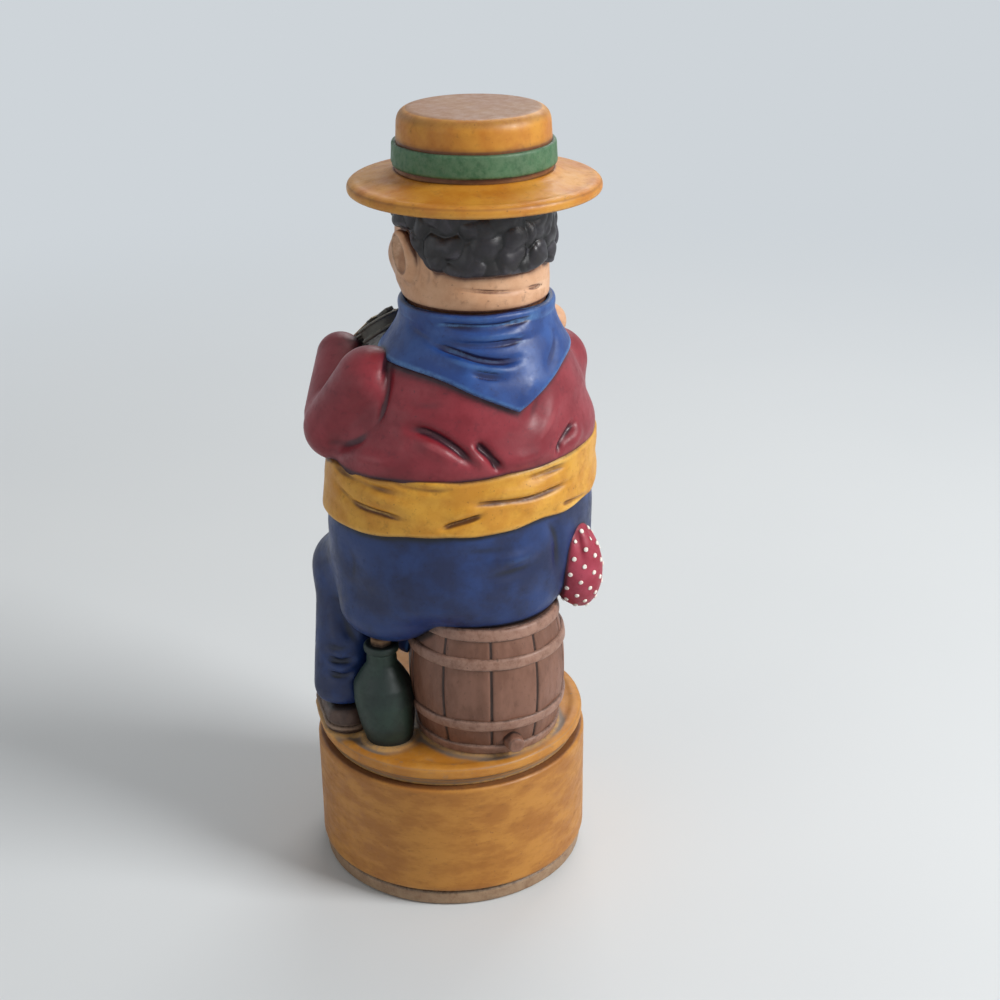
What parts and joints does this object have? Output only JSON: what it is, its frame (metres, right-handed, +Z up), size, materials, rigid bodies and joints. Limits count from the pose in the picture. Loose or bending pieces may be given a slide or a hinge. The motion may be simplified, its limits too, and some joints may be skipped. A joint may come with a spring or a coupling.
{
  "type": "figural liquor decanter",
  "caption": "Painted ceramic liquor decanter shaped as a seated straw-hatted fiddler on a barrel and round musical plinth; the head with its hat lifts out as the stopper.",
  "frame": {"origin": "centre of the plinth's flat underside, on the surface the decanter stands on", "axes": "+Z up, the figure faces -Y, its left hand is at +X"},
  "size_m": [0.1148, 0.1175, 0.304],
  "materials": {
    "ochre_base": "painted ceramic, satin, ochre with a brown wash",
    "foot": "worn painted ceramic",
    "ground": "painted ceramic, ochre with grey-brown wash",
    "barrel_wood": "painted ceramic, grey-brown",
    "barrel_hoops": "painted ceramic, grey-brown",
    "bottle_green": "painted ceramic, dark green, satin",
    "cork": "cork",
    "navy": "painted ceramic, navy, satin",
    "shoe_brown": "painted ceramic, dark brown",
    "sole_brown": "painted ceramic, brown",
    "crimson": "painted ceramic, crimson, satin",
    "sash_ochre": "painted ceramic, yellow ochre, satin",
    "kerchief_blue": "painted ceramic, mid blue, satin",
    "skin": "painted ceramic, tan skin, matte",
    "fiddle_brown": "painted ceramic, red-brown",
    "fiddle_dark": "painted ceramic, near black",
    "bow_brown": "painted ceramic, brown",
    "buttons": "painted ceramic, bone",
    "spotted_red": "painted ceramic, red with raised white dots",
    "hair_dark": "painted ceramic, brown-black, satin",
    "straw_ochre": "painted ceramic, straw ochre, satin",
    "band_green": "painted ceramic, dark green",
    "bisque": "unpainted ceramic",
    "base_black": "matte",
    "steel": "plain",
    "key_steel": "plated",
    "spring_steel": "blued",
    "brass": "plain",
    "cast_iron": "cast"
  },
  "bodies": {
    "decanter": {"plinth_drum": "ochre_base", "foot_ring": "foot", "ground_disc": "ground", "barrel_staves": "barrel_wood", "barrel_peg": "barrel_wood", "barrel_hoop_foot": "barrel_hoops", "barrel_hoop_low": "barrel_hoops", "barrel_hoop_high": "barrel_hoops", "barrel_hoop_top": "barrel_hoops", "bottle_body": "bottle_green", "bottle_lip": "bottle_green", "bottle_cork": "cork", "trousers": "navy", "left_leg": "navy", "right_leg": "navy", "left_shoe": "shoe_brown", "right_shoe": "shoe_brown", "left_sole": "sole_brown", "right_sole": "sole_brown", "shirt_body": "crimson", "left_upper_arm": "crimson", "left_forearm": "crimson", "right_upper_arm": "crimson", "right_forearm": "crimson", "sash": "sash_ochre", "sash_knot": "sash_ochre", "sash_tail": "sash_ochre", "kerchief": "kerchief_blue", "kerchief_knot": "kerchief_blue", "left_hand": "skin", "right_hand": "skin", "fiddle_body": "fiddle_brown", "fiddle_neck": "fiddle_dark", "fiddle_bridge": "fiddle_dark", "bow_stick": "bow_brown", "shirt_buttons": "buttons", "handkerchief": "spotted_red", "base_plate": "base_black", "base_screws": "steel", "bed_posts": "brass", "bedplate": "steel", "cylinder_bearings": "steel", "comb": "spring_steel", "comb_block": "cast_iron", "comb_screws": "steel", "governor_bracket": "steel"},
    "stopper": {"head": "skin", "hair": "hair_dark", "hat_brim": "straw_ochre", "hat_crown": "straw_ochre", "hat_band": "band_green", "stopper_shank": "bisque", "stopper_cork": "cork"},
    "key": {"winding_key": "key_steel"},
    "spring_drum": {"spring_case": "brass", "mainspring": "spring_steel"},
    "cylinder": {"pinned_cylinder": "brass"},
    "governor": {"governor_fan": "brass"},
    "stop": {"stop_lever": "steel"}
  },
  "joints": [
    {"name": "stopper_lift", "type": "slide", "parent": "decanter", "child": "stopper", "axis": [0, 0, 1], "range_m": [0, 0.06]},
    {"name": "key_turn", "type": "hinge", "parent": "decanter", "child": "key", "pos_m": [-0.024, 0.009, 0.005], "axis": [0, 0, 1], "continuous": true},
    {"name": "spring_turn", "type": "hinge", "parent": "decanter", "child": "spring_drum", "pos_m": [-0.024, 0.009, 0.0181], "axis": [0, 0, 1], "continuous": true},
    {"name": "cylinder_turn", "type": "hinge", "parent": "decanter", "child": "cylinder", "pos_m": [0, 0.009, 0.0303], "axis": [1, 0, 0], "continuous": true},
    {"name": "governor_spin", "type": "hinge", "parent": "decanter", "child": "governor", "pos_m": [0.0257, 0.0197, 0.0181], "axis": [0, 0, 1], "continuous": true},
    {"name": "stop_swing", "type": "hinge", "parent": "decanter", "child": "stop", "pos_m": [0.033, -0.012, 0], "axis": [0, 0, 1], "range_deg": [-25, 0]}
  ],
  "couplings": [
    {"joint": "cylinder_turn", "follows": "spring_turn", "ratio": 3},
    {"joint": "governor_spin", "follows": "spring_turn", "ratio": 24}
  ]
}
